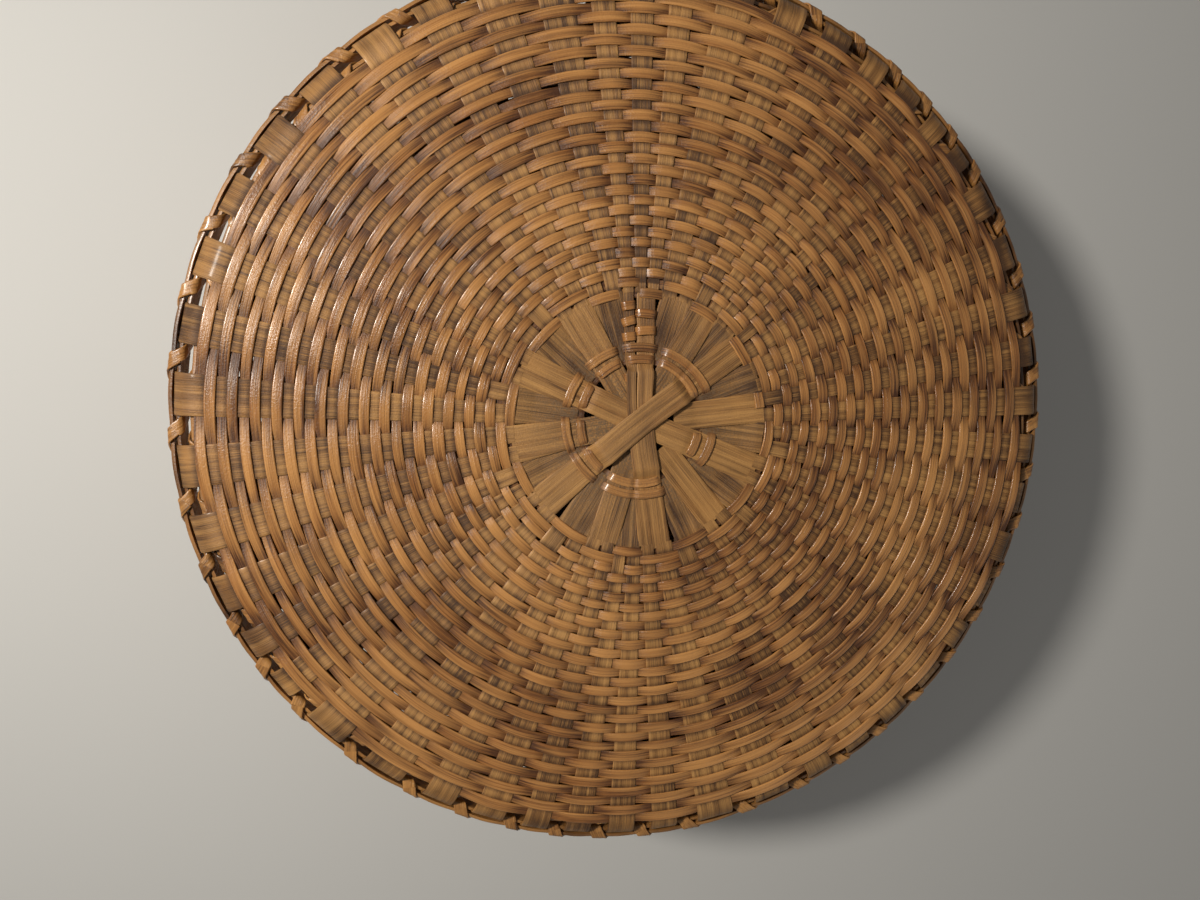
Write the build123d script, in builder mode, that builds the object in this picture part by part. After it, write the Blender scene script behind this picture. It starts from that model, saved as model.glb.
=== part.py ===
"""Covered round splint basket: a woven body and a shallow woven lid that lifts off its rim.

Millimetres, +Z up, origin at the centre of the base, on the surface that the basket stands on.
"""

from build123d import *
from math import asin, cos, degrees, radians, sin
import os

# Splints
rib_thickness = 0.8
weaver_thickness = 0.7
weaver_width = 3.1
row_pitch = 3.6
hoop_thickness = 2.0
hoop_height = 8.5
lashing_thickness = 0.8
lashing_width = 5.6

# Basket body
body_radius = 153.0
body_height = 110.0
heel_rise = 8.0
heel_run = 7.0

# Lid
lid_clearance = 1.6
lid_rest_gap = 0.3
shoulder_drop = 5.0
shoulder_run = 5.0

# Ribs in plan
rib_pairs = 12
rib_width_centre = 9.0
rib_width_slit = 11.0
slit_radius = 47.0
tongue_width_slit = 5.2
tongue_width_edge = 12.2
narrow_share = 0.56
laid_in_tip_radius = 30.0
laid_in_tip_width = 2.4
tip_taper = 5.0
side_gap = 0.15
hub_reach = 17.4
hub_slope = 3.8
short_tip_radius = 18.0
short_tip_width = 5.0
extra_tongue_at = 90.0

# Lid ribs: the angle of each crossing rib and its layer in the stack, then the ones that end short
lid_crossing = ((30.0, 3), (90.0, 2), (150.0, 1), (60.0, 0))
lid_short_angles = (0.0, 120.0, 180.0, 300.0)

# Weave
binding_radii = (23.4, 27.6)
first_row_radius = 45.5
side_row_clearance = 2.0

# What follows from the sizes above
rib_spacing = 180.0 / rib_pairs
tongue_turn = rib_spacing / 4
narrow_turn = rib_spacing / 3
upright_outer = body_radius + rib_thickness
body_lashing_inner = body_radius - hoop_thickness - lashing_thickness
body_lashing_outer = upright_outer + hoop_thickness + lashing_thickness
base_edge = body_radius - heel_run
base_rib_z = weaver_thickness
lid_lashing_inner = body_lashing_outer + lid_clearance
lid_rib_inner = lid_lashing_inner + lashing_thickness + hoop_thickness
lid_rib_outer = lid_rib_inner + rib_thickness
lid_edge = lid_rib_inner - shoulder_run
lid_rib_z = body_height + lashing_thickness + lid_rest_gap + weaver_thickness
lid_hoop_top = lid_rib_z - shoulder_drop
lid_hoop_bottom = lid_hoop_top - hoop_height
body_hoop_bottom = body_height - hoop_height
total_height = lid_rib_z + rib_pairs * rib_thickness

os.makedirs("parts", exist_ok=True)


def save(name, piece):
    """Label a finished piece and write it under its own name."""
    piece.part.label = name
    export_step(piece.part, f"parts/{name}.step")


def along(angle):
    """Upright plane through the axis: its x runs out along the rib, its y is up."""
    out = Vector(cos(radians(angle)), sin(radians(angle)), 0)
    return Plane(origin=(0, 0, 0), x_dir=out, z_dir=out.cross(Vector(0, 0, 1)))


def flat(angle, height=0):
    """Level plane at a height: its x runs out along the rib."""
    out = Vector(cos(radians(angle)), sin(radians(angle)), 0)
    return Plane(origin=(0, 0, height), x_dir=out, z_dir=(0, 0, 1))


def strip_points(start, stop, width_start, width_stop):
    """Corners of a tapering strip along the plane's x."""
    return [
        (start, -width_start / 2),
        (stop, -width_stop / 2),
        (stop, width_stop / 2),
        (start, width_start / 2),
    ]


def wedge(direction, half_turn):
    """Corners of a thin wedge from near the axis to beyond the rim, about a direction."""
    near, far = slit_radius, 2 * lid_rib_outer
    corners = ((near, -half_turn), (far, -half_turn), (far, half_turn), (near, half_turn))
    return [(r * cos(radians(direction + turn)), r * sin(radians(direction + turn))) for r, turn in corners]


def rib_width(radius):
    """Width of an uncut rib at a distance from the centre."""
    grown = (rib_width_slit - rib_width_centre) * min(radius, slit_radius) / slit_radius
    return rib_width_centre + grown - 2 * side_gap


def tongues(angle):
    """Directions and width share of the tongues that a rib's end is slit into."""
    if angle % 360 == extra_tongue_at:
        return [(angle + turn * narrow_turn, narrow_share) for turn in (-1, 0, 1)]
    return [(angle + turn * tongue_turn, 1.0) for turn in (-1, 1)]


def side_outline(start, stop, low, lift, through):
    """A rib seen from the side: raised over the crossing at the centre, flat beyond it."""
    raised_to = hub_reach if start < hub_reach else stop
    under = [(start, low + lift), (raised_to, low + lift)]
    if raised_to < stop:
        under += [(raised_to + hub_slope, low), (stop, low)]
    if lift == 0:
        under = [(start, low), (stop, low)]
    if through:
        under = [(-along_x, up) for along_x, up in reversed(under[1:])] + under[1:]
    over = [(along_x, up + rib_thickness) for along_x, up in reversed(under)]
    return under + over


def rib(name, angle, low, edge, level=0, start=0.0, through=False, tip_width=0.0):
    """Make a rib splint: the uncut strip from its tip or right across, then its slit tongues."""
    with BuildPart() as splint:
        for end in (angle, angle + 180) if through else (angle,):
            with BuildSketch(flat(end)):
                neck = start
                if tip_width:
                    neck = slit_radius - tip_taper
                    Polygon(*strip_points(start, neck, tip_width, rib_width(neck)), align=None)
                Polygon(*strip_points(neck, slit_radius, rib_width(neck), rib_width(slit_radius)), align=None)
            extrude(amount=total_height)
            for direction, share in tongues(end):
                with BuildSketch(flat(direction)):
                    widths = (tongue_width_slit * share, tongue_width_edge * share)
                    Polygon(*strip_points(slit_radius - 1, edge + 1, *widths), align=None)
                extrude(amount=total_height)
        with BuildSketch(along(angle)):
            Polygon(*side_outline(start, edge + 1, low, level * rib_thickness, through), align=None)
        extrude(amount=2 * edge, both=True, mode=Mode.INTERSECT)
        with BuildSketch():
            Circle(edge)
        extrude(amount=total_height, mode=Mode.INTERSECT)
    save(name, splint)


def tongue_spans(edge):
    """First and last angle of every tongue at the edge of the flat, going round."""
    spans = []
    for number in range(2 * rib_pairs):
        for direction, share in tongues(number * rib_spacing):
            half_turn = degrees(asin(tongue_width_edge * share / 2 / edge))
            spans.append((direction - half_turn, direction + half_turn))
    return spans


def rib_ends(name, section, edge):
    """Make one stretch of all the bent tongues: its section turned right round, cut to their widths."""
    with BuildPart() as ends:
        with BuildSketch(along(0)):
            Polygon(*section, align=None)
        revolve(axis=Axis.Z)
        with BuildSketch():
            for first, last in tongue_spans(edge):
                Polygon(*wedge((first + last) / 2, (last - first) / 2), align=None)
        extrude(amount=total_height, mode=Mode.INTERSECT)
    save(name, ends)


def flat_rows(name, low, radii, first_side=0):
    """Make rings of weaver lying flat, in turn below and above the ribs."""
    with BuildPart() as rows:
        for number, radius in enumerate(radii):
            below = (number + first_side) % 2 == 0
            height = low - weaver_thickness if below else low + rib_thickness
            with BuildSketch(Plane.XY.offset(height)):
                Circle(radius + weaver_width / 2)
                Circle(radius - weaver_width / 2, mode=Mode.SUBTRACT)
            extrude(amount=weaver_thickness)
    save(name, rows)


def band(name, inner, thickness, lows, height):
    """Make rings that stand on edge, each from its own height up."""
    with BuildPart() as rings:
        for number, low in enumerate(lows):
            radius = inner[number % len(inner)]
            with BuildSketch(Plane.XY.offset(low)):
                Circle(radius + thickness)
                Circle(radius, mode=Mode.SUBTRACT)
            extrude(amount=height)
    save(name, rings)


def lashing(name, inner, low, edge):
    """Make the wraps that bind both hoops, one in each gap between the rib ends."""
    reach = 2 * hoop_thickness + rib_thickness
    loop = lashing_thickness
    spans = tongue_spans(edge)
    following = [first for first, _ in spans[1:]] + [spans[0][0] + 360]
    with BuildPart() as wraps:
        with BuildSketch(along(0)):
            with Locations((inner + reach / 2 + loop, low + hoop_height / 2)):
                Rectangle(reach + 2 * loop, hoop_height + 2 * loop)
                Rectangle(reach, hoop_height, mode=Mode.SUBTRACT)
        revolve(axis=Axis.Z)
        with BuildSketch():
            for (_, left), right in zip(spans, following):
                Polygon(*wedge((left + right) / 2, degrees(lashing_width / 2 / inner)), align=None)
        extrude(amount=total_height, mode=Mode.INTERSECT)
    save(name, wraps)


def row_radii(edge):
    """Radii of the main weave's rows, from the first to the last that fits the flat."""
    count = int((edge - weaver_width / 2 - first_row_radius) / row_pitch) + 1
    return [first_row_radius + number * row_pitch for number in range(count)]


# Body: the crossed ribs, the ribs laid in between them, and the bent-up ends
for number in range(rib_pairs // 2):
    rib(f"base_rib_{number + 1}", number * 2 * rib_spacing, base_rib_z, base_edge, number, through=True)
for number in range(rib_pairs):
    turned = (2 * number + 1) * rib_spacing
    name = f"base_laid_in_rib_{number + 1}"
    rib(name, turned, base_rib_z, base_edge, start=laid_in_tip_radius, tip_width=laid_in_tip_width)
heel_top = base_rib_z + heel_rise
heel_section = [
    (base_edge, base_rib_z),
    (upright_outer, heel_top),
    (body_radius, heel_top),
    (base_edge, base_rib_z + rib_thickness),
]
upright_section = [
    (body_radius, heel_top),
    (upright_outer, heel_top),
    (upright_outer, body_height),
    (body_radius, body_height),
]
rib_ends("body_heels", heel_section, base_edge)
rib_ends("body_uprights", upright_section, base_edge)

# Body: its weave and rim
flat_rows("base_binding_weaver", base_rib_z, binding_radii, first_side=1)
flat_rows("base_weaver", base_rib_z, row_radii(base_edge))
side_from = heel_top + side_row_clearance
side_count = int((body_hoop_bottom - lashing_thickness - side_from) / row_pitch)
side_lows = [side_from + number * row_pitch for number in range(side_count)]
side_faces = (upright_outer, body_radius - weaver_thickness)
band("body_side_weaver", side_faces, weaver_thickness, side_lows, weaver_width)
band("body_outer_hoop", (upright_outer,), hoop_thickness, [body_hoop_bottom], hoop_height)
inner_hoop_radius = body_radius - hoop_thickness
band("body_inner_hoop", (inner_hoop_radius,), hoop_thickness, [body_hoop_bottom], hoop_height)
lashing("body_lashing", body_lashing_inner, body_hoop_bottom, base_edge)

# Lid: the ribs that cross, those that end in the centre, those laid over and those laid in
for number, (angle, level) in enumerate(lid_crossing):
    rib(f"lid_rib_{number + 1}", angle, lid_rib_z, lid_edge, level, through=True)
for number, angle in enumerate(lid_short_angles):
    start = short_tip_radius
    rib(f"lid_short_rib_{number + 1}", angle, lid_rib_z, lid_edge, start=start, tip_width=short_tip_width)
for number in range(rib_pairs):
    turned = (2 * number + 1) * rib_spacing
    name = f"lid_laid_in_rib_{number + 1}"
    rib(name, turned, lid_rib_z, lid_edge, start=laid_in_tip_radius, tip_width=laid_in_tip_width)
shoulder_foot = lid_hoop_top + rib_thickness
shoulder_section = [
    (lid_edge, lid_rib_z),
    (lid_rib_inner, shoulder_foot),
    (lid_rib_outer, shoulder_foot),
    (lid_edge, lid_rib_z + rib_thickness),
]
rib_end_section = [
    (lid_rib_inner, lid_hoop_bottom),
    (lid_rib_outer, lid_hoop_bottom),
    (lid_rib_outer, shoulder_foot),
    (lid_rib_inner, shoulder_foot),
]
rib_ends("lid_shoulders", shoulder_section, lid_edge)
rib_ends("lid_rib_ends", rib_end_section, lid_edge)

# Lid: its weave and rim
flat_rows("lid_binding_weaver", lid_rib_z, binding_radii, first_side=1)
flat_rows("lid_face_weaver", lid_rib_z, row_radii(lid_edge))
band("lid_outer_hoop", (lid_rib_outer,), hoop_thickness, [lid_hoop_bottom], hoop_height)
lid_inner_hoop_radius = lid_rib_inner - hoop_thickness
band("lid_inner_hoop", (lid_inner_hoop_radius,), hoop_thickness, [lid_hoop_bottom], hoop_height)
lashing("lid_lashing", lid_lashing_inner, lid_hoop_bottom, lid_edge)
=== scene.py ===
"""Covered splint basket: the woven lid and body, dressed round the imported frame."""

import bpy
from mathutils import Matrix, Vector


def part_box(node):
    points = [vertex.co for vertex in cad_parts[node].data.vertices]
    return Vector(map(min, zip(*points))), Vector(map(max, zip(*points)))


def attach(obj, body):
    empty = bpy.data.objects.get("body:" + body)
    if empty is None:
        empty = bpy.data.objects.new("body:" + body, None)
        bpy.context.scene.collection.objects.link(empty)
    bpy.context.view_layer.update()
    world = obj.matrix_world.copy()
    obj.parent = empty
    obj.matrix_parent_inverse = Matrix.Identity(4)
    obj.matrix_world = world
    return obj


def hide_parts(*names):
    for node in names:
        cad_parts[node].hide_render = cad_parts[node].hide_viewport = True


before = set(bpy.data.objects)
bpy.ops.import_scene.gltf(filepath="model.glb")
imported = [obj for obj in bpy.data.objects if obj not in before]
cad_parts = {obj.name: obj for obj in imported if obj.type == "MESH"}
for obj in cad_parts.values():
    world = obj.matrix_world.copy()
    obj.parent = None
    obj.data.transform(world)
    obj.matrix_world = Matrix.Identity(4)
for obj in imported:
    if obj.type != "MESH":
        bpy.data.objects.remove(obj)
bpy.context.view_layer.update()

import logging
from dataclasses import dataclass, field, replace
from enum import Enum
from functools import cache
from math import cos, pi, radians, sin
from typing import Callable, Iterable, Sequence

import bpy
import numpy as np
from mathutils import Matrix, Vector

LOG = logging.getLogger("basket")
MM = 0.001
TURN = 2 * pi
EDGE_COVER = 0.55
LAYER = 0.8 * MM
HOOP_THICKNESS = 2.0 * MM
RIB_MIDDLE = 0.4 * MM
CORNER_SAMPLES, LOOP_SAMPLES = 12, 241
UNCUT_SEED, TONGUE_SEED, LASHING_SEED = 500, 900, 7
Array = np.ndarray
Colour = tuple[float, float, float]
Point = tuple[float, float, float]
Pair = tuple[float, float]


class Body(Enum):
    """The two bodies that come apart."""

    BASKET = "basket"
    LID = "lid"


class Side(Enum):
    """Which way the outside of a woven profile faces, as seen walking out from its centre."""

    LEFT = 1
    RIGHT = -1


def operator(operation: str, swapped: bool = False) -> Callable[["Signal", object], "Signal"]:
    """A method of signals that adds a Math node of one operation."""

    def method(signal: "Signal", other: "Signal | float") -> "Signal":
        """Combine the signal with another one or a number."""
        first, second = (other, signal) if swapped else (signal, other)
        return signal.graph.node("ShaderNodeMath", {"operation": operation}, {0: first, 1: second})

    return method


class Signal:
    """A shader socket that can be used in Python sums."""

    def __init__(self, graph: "Graph", socket: bpy.types.NodeSocket) -> None:
        """Wrap a socket of a graph."""
        self.graph = graph
        self.socket = socket

    __add__ = __radd__ = operator("ADD")
    __sub__, __rsub__ = operator("SUBTRACT"), operator("SUBTRACT", swapped=True)
    __mul__ = __rmul__ = operator("MULTIPLY")
    __pow__ = operator("POWER")

    def clamped(self, low: float = 0.0, high: float = 1.0) -> "Signal":
        """Hold the value between two limits."""
        return self.graph.node("ShaderNodeClamp", {}, {0: self, 1: low, 2: high})


class Graph:
    """The node graph of one material or world."""

    def __init__(self, owner: bpy.types.Material | bpy.types.World) -> None:
        """Empty the owner's graph."""
        self.owner = owner
        owner.use_nodes = True
        self.tree = owner.node_tree
        self.tree.nodes.clear()

    def node(
        self, kind: str, settings: dict, sockets: dict, output: int | str | None = 0
    ) -> Signal | None:
        """Add a node.

        Args:
            kind: Blender's name of the node's type.
            settings: its own settings, set before its sockets.
            sockets: values or signals for its inputs, by name or number.
            output: which output the signal reads.

        Returns:
            The signal of that output.
        """
        made = self.tree.nodes.new(kind)
        for key, value in settings.items():
            setattr(made, key, value)
        for key, value in sockets.items():
            if isinstance(value, Signal):
                self.tree.links.new(value.socket, made.inputs[key])
            else:
                made.inputs[key].default_value = value
        return None if output is None else Signal(self, made.outputs[output])

    def mix(self, factor: Signal | float, first: object, second: object) -> Signal:
        """Blend two colours by a factor."""
        settings = {"data_type": "RGBA", "clamp_factor": True}
        return self.node("ShaderNodeMix", settings, {0: factor, 6: first, 7: second}, 2)

    def noise(self, vector: Signal, scale: float, detail: float, rough: float = 0.55) -> Signal:
        """Noise value over a vector."""
        sockets = {"Vector": vector, "Scale": scale, "Detail": detail, "Roughness": rough}
        return self.node("ShaderNodeTexNoise", {}, sockets, "Fac")

    def stretched(self, vector: Signal, factors: Colour) -> Signal:
        """A vector multiplied axis by axis."""
        return self.node("ShaderNodeVectorMath", {"operation": "MULTIPLY"}, {0: vector, 1: factors})

    def attribute(self, name: str) -> Signal:
        """A mesh attribute, as a vector."""
        return self.node("ShaderNodeAttribute", {"attribute_name": name}, {}, "Vector")

    def axis(self, vector: Signal, number: int) -> Signal:
        """One axis of a vector."""
        return self.node("ShaderNodeSeparateXYZ", {}, {0: vector}, number)

    def surface(self, sockets: dict) -> bpy.types.Material:
        """Finish the material with a Principled surface."""
        shader = self.node("ShaderNodeBsdfPrincipled", {}, sockets)
        self.node("ShaderNodeOutputMaterial", {}, {"Surface": shader}, None)
        return self.owner


def opaque(colour: Colour) -> tuple[float, float, float, float]:
    """A colour with full alpha."""
    return (*colour, 1.0)


@dataclass(frozen=True)
class Figure:
    """A noise in a splint's own space: its changes per metre along and across, and by seed."""

    along: float
    across: float
    apart: float
    detail: float = 2.0
    rough: float = 0.55

    def drawn(self, graph: Graph, strip: Signal) -> Signal:
        """Draw the noise over the strip's coordinates."""
        space = graph.stretched(strip, (self.along, self.across, self.apart))
        return graph.noise(space, 1.0, self.detail, self.rough)


@dataclass(frozen=True)
class Weights:
    """How much each signal adds to a sum; the noises count from their middle value."""

    start: float = 0.0
    tone: float = 0.0
    lift: float = 0.0
    dirt: float = 0.0
    fibre: float = 0.0
    hair: float = 0.0
    streak: float = 0.0
    patch: float = 0.0
    cloud: float = 0.0
    grain: float = 0.0
    pore: float = 0.0

    def total(self, signals: dict[str, Signal]) -> Signal:
        """Add up the signals that have a weight."""
        total = self.start
        for label, signal in signals.items():
            if getattr(self, label):
                total = total + signal * getattr(self, label)
        return total


HAIR = Figure(120.0, 4200.0, 23.0, rough=0.6)
STREAK = Figure(11.0, 420.0, 19.0)
PATCH = Figure(55.0, 90.0, 53.0)
CHATTER = Figure(900.0, 60.0, 41.0)
GRAIN_SCALE = 1500.0
CLOUD_SCALE = 17.0
PORE_SHARPNESS = 15.0
# Their lift weights paint the low parts of the weave darker and the raised crowns paler: painted
# shade and painted light.
WARMTH = Weights(start=0.5, tone=0.32, lift=0.22, fibre=2.1, patch=1.9, hair=1.3)
BRIGHTNESS = Weights(start=0.216, tone=0.2, lift=0.2, streak=1.8, cloud=1.7, fibre=0.9)
# Painted shade: how much of the deep brown goes back over the low parts, where a splint dips under
# another.
PAINTED_SHADE_IN_HOLLOWS = Weights(lift=-0.52, cloud=-0.5)
SETTLING = Weights(start=0.5, cloud=1.4, patch=1.2, grain=3.0)
POLISH = Weights(start=0.45, lift=0.45, patch=0.9, dirt=-0.5)
RELIEF = Weights(fibre=1.0, streak=0.6, hair=0.4, pore=-0.3)
# Caps of the pale layer, the painted shade and the dust.
MOST_PALE, MOST_PAINTED_SHADE, MOST_DUSTY = 0.85, 0.78, 0.9
FIBRE_ROUGHNESS = 0.22
GRAIN_RELIEF = 1.1
SMOOTHEST, ROUGHEST = 0.2, 0.95


@dataclass(frozen=True)
class SplintFinish:
    """Old handled splint: fibres along the strip, painted shade in hollows, worn crowns painted
    paler, settled dust.
    """

    slot: str
    pale: Colour
    warm: Colour
    # The deep brown is the base colour and also the colour of the painted shade in the hollows.
    deep: Colour
    dust: Colour = (0.135, 0.088, 0.050)
    worn_roughness: float = 0.26
    dull_roughness: float = 0.56
    fibre: Figure = Figure(34.0, 2100.0, 37.0, 3.0, 0.6)
    fibre_depth: float = 0.15 * MM
    pores: Figure = Figure(26.0, 700.0, 31.0, 1.0)
    pore_depth: float = 0.25
    saw_marks: float = 0.0
    coat: float = 1.0

    def material(self) -> bpy.types.Material:
        """Build the finish.

        Returns:
            The material, driven by the strip attributes of the meshes.
        """
        graph = Graph(bpy.data.materials.new(self.slot))
        strip = graph.attribute("strip")
        place = graph.node("ShaderNodeTexCoord", {}, {}, "Object")
        grain = graph.noise(place, GRAIN_SCALE, 2.0)
        noises = {
            "fibre": self.fibre.drawn(graph, strip),
            "hair": HAIR.drawn(graph, strip),
            "streak": STREAK.drawn(graph, strip),
            "patch": PATCH.drawn(graph, strip),
            "cloud": graph.noise(place, CLOUD_SCALE, 3.0),
            "grain": grain,
        }
        # Tone and dirt are the splint's own colour; the lift channel drives the painted shade and
        # painted light, and the polish.
        wear_and_shade = graph.attribute("wear_and_shade")
        signals = {label: graph.axis(wear_and_shade, n) for n, label in enumerate(("tone", "lift", "dirt"))}
        signals |= {label: noise - 0.5 for label, noise in noises.items()}
        pore = ((self.pores.drawn(graph, strip) - 0.5) * PORE_SHARPNESS) ** 2
        signals["pore"] = 1 - pore.clamped()
        polish = POLISH.total(signals).clamped()
        rough = self.dull_roughness + polish * (self.worn_roughness - self.dull_roughness)
        rough = rough + signals["fibre"] * FIBRE_ROUGHNESS
        height = RELIEF.total(signals) + (signals["dirt"] + GRAIN_RELIEF) * grain
        if self.saw_marks:
            height = height + CHATTER.drawn(graph, strip) * self.saw_marks
        bump = {"Strength": 0.85, "Distance": self.fibre_depth, "Height": height}
        return graph.surface(
            {
                "Base Color": self._colour(graph, signals),
                "Roughness": rough.clamped(SMOOTHEST, ROUGHEST),
                "Normal": graph.node("ShaderNodeBump", {}, bump),
                "Specular IOR Level": 0.42,
                "Coat Weight": polish * polish * self.coat,
                "Coat Roughness": 0.19,
            }
        )

    def _colour(self, graph: Graph, signals: dict[str, Signal]) -> Signal:
        """Lay the colours over one another, from the deep brown through the painted shade to the
        dust.
        """
        warmth = WARMTH.total(signals) - signals["pore"] * self.pore_depth
        grime = signals["dirt"] * SETTLING.total(signals)
        colour = opaque(self.deep)
        for amount, most, layer in (
            (warmth, 1.0, self.warm),
            (BRIGHTNESS.total(signals), MOST_PALE, self.pale),
            # painted shade: the deep brown again over the low parts of the weave
            (PAINTED_SHADE_IN_HOLLOWS.total(signals), MOST_PAINTED_SHADE, self.deep),
            (grime, MOST_DUSTY, self.dust),
        ):
            colour = graph.mix(amount.clamped(0.0, most), colour, opaque(layer))
        return colour


WEAVER = SplintFinish(
    "weaver_splint",
    pale=(0.56, 0.270, 0.082),
    warm=(0.30, 0.118, 0.028),
    deep=(0.066, 0.023, 0.008),
)
RIB = SplintFinish(
    "rib_splint",
    pale=(0.54, 0.282, 0.088),
    warm=(0.31, 0.142, 0.038),
    deep=(0.055, 0.023, 0.008),
    worn_roughness=0.42,
    dull_roughness=0.7,
    fibre=Figure(36.0, 3600.0, 37.0, 3.0, 0.6),
    fibre_depth=0.14 * MM,
    pores=Figure(26.0, 2300.0, 31.0, 1.0),
    pore_depth=0.2,
    saw_marks=0.2,
    coat=0.35,
)
HOOP = SplintFinish(
    "hoop_splint",
    pale=(0.50, 0.245, 0.072),
    warm=(0.29, 0.120, 0.028),
    deep=(0.055, 0.021, 0.006),
    fibre=Figure(16.0, 1300.0, 37.0, 3.0, 0.6),
)
LASHING = SplintFinish(
    "lashing_splint",
    pale=(0.53, 0.262, 0.078),
    warm=(0.32, 0.134, 0.032),
    deep=(0.06, 0.023, 0.007),
    fibre=Figure(34.0, 1900.0, 37.0, 3.0, 0.6),
)


@dataclass
class Strip:
    """One splint: its path, the direction off its face, and the width, wear and painted shade along
    it.
    """

    path: Array
    outside: Array
    width: Array
    thickness: float
    lift: Array
    tone: Array
    dirt: Array
    closed: bool = False
    cup: float = 0.0
    seed: float = 0.0

    def part(self, keep: Array) -> "Strip":
        """The stretch of the splint that a mask keeps."""
        varying = ("path", "outside", "width", "lift", "tone", "dirt")
        return replace(self, **{name: getattr(self, name)[keep] for name in varying})


def distances(line: Array) -> Array:
    """Distances along a line of points, from its start."""
    return np.concatenate([[0.0], np.cumsum(np.linalg.norm(np.diff(line, axis=0), axis=1))])


def unit(rows: Array) -> Array:
    """Vectors brought to length one."""
    return rows / np.linalg.norm(rows, axis=1)[:, None]


class StripMesh:
    """Gathers splints into one mesh with the attributes that the finish reads."""

    HALF_SECTION = ((0.0, 0.5), (0.38, 0.5), (0.465, 0.5), (0.5, 0.25), (0.5, -0.5))
    SECTION = tuple((-side, high) for side, high in reversed(HALF_SECTION[1:])) + HALF_SECTION
    SHARP_ANGLE = radians(50)

    def __init__(self) -> None:
        """Start with no splints."""
        self.points: list[Array] = []
        self.faces: list[Array] = []
        self.ends: list[list[int]] = []
        self.strip: list[Array] = []
        self.wear_and_shade: list[Array] = []
        self.count = 0

    def add(self, splint: Strip) -> None:
        """Sweep the section along a splint's path.

        Args:
            splint: the splint to add.
        """
        path = splint.path
        ahead = np.roll(path, -1, axis=0) - np.roll(path, 1, axis=0)
        if not splint.closed:
            ahead[0], ahead[-1] = path[1] - path[0], path[-1] - path[-2]
        ahead = unit(ahead)
        across = unit(np.cross(splint.outside, ahead))
        up = np.cross(ahead, across)
        side, high = self._section(splint)
        points = path[:, None] + across[:, None] * side[..., None] + up[:, None] * high[..., None]
        self._lay(splint, points, side)

    def wrap(self, splint: Strip, surface: "LoopSurface", bulge: Array) -> None:
        """Bend a flat splint round a closed loop that runs round the axis.

        Args:
            splint: the splint; its path holds distances round the loop and along the rim.
            surface: the loop that it lies on.
            bulge: how far the splint stands off the loop, along its path.
        """
        flat = splint.path
        ahead = unit(np.gradient(flat, axis=0))
        across = np.stack([-ahead[:, 1], ahead[:, 0]], axis=-1)
        side, high = self._section(splint)
        spread = flat[:, None] + across[:, None] * side[..., None]
        points = surface.place(spread[..., 0], spread[..., 1], high + bulge[:, None])
        self._lay(splint, points, side)

    def _section(self, splint: Strip) -> tuple[Array, Array]:
        """Offsets across the splint and off its face, for every point of every ring."""
        section = np.array(self.SECTION)
        side = section[None, :, 0] * splint.width[:, None]
        crown = splint.cup * (1 - (2 * section[None, :, 0]) ** 2)
        return side, section[None, :, 1] * splint.thickness + crown

    def _lay(self, splint: Strip, points: Array, side: Array) -> None:
        """Store rings of points as one splint.

        Args:
            splint: the splint whose wear and painted shade go with the points.
            points: a ring of points for every step of its path.
            side: how far each point lies from the splint's middle line.
        """
        steps, ring = points.shape[:2]
        first = np.arange(steps if splint.closed else steps - 1)[:, None]
        after = (first + 1) % steps
        here = np.arange(ring)[None, :]
        beside = (here + 1) % ring
        round_face = ((first, here), (first, beside), (after, beside), (after, here))
        quads = np.stack([row * ring + place for row, place in round_face], axis=-1)
        self.faces.append(quads.reshape(-1, 4) + self.count)
        if not splint.closed:
            last = (steps - 1) * ring + self.count
            self.ends.append([self.count + number for number in reversed(range(ring))])
            self.ends.append([last + number for number in range(ring)])
        along = np.repeat(distances(points.mean(axis=1))[:, None], ring, axis=1)
        strip = np.stack([along, side, np.full_like(side, splint.seed)], axis=-1)
        self.strip.append(strip.reshape(-1, 3))
        wear_and_shade_rows = np.stack([splint.tone, splint.lift, splint.dirt], axis=-1)
        self.wear_and_shade.append(np.repeat(wear_and_shade_rows, ring, axis=0))
        self.points.append(points.reshape(-1, 3))
        self.count += steps * ring

    def build(
        self, name: str, finish: SplintFinish, body: Body, nodes: Sequence[str]
    ) -> bpy.types.Object:
        """Make the object and hand it to the frame.

        Args:
            name: the piece's name.
            finish: the finish it wears.
            body: the body it moves with.
            nodes: the CAD nodes it stands for.

        Returns:
            The new object.
        """
        points = np.concatenate(self.points)
        faces = np.concatenate(self.faces).tolist() + self.ends
        mesh = bpy.data.meshes.new(name)
        mesh.from_pydata(points.tolist(), [], faces)
        for label, rows in (("strip", self.strip), ("wear_and_shade", self.wear_and_shade)):
            layer = mesh.attributes.new(label, "FLOAT_VECTOR", "POINT")
            layer.data.foreach_set("vector", np.concatenate(rows).astype(np.float32).ravel())
        mesh.polygons.foreach_set("use_smooth", np.ones(len(mesh.polygons), dtype=bool))
        mesh.set_sharp_from_angle(angle=self.SHARP_ANGLE)
        mesh.materials.append(material_of(finish))
        mesh.update()
        piece = bpy.data.objects.new(name, mesh)
        bpy.context.scene.collection.objects.link(piece)
        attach(piece, body.value)
        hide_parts(*nodes)
        LOG.info("%s: %d points, stands for %s", name, len(points), ", ".join(nodes))
        return piece


@cache
def material_of(finish: SplintFinish) -> bpy.types.Material:
    """The finish's material, made once."""
    return finish.material()


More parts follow.
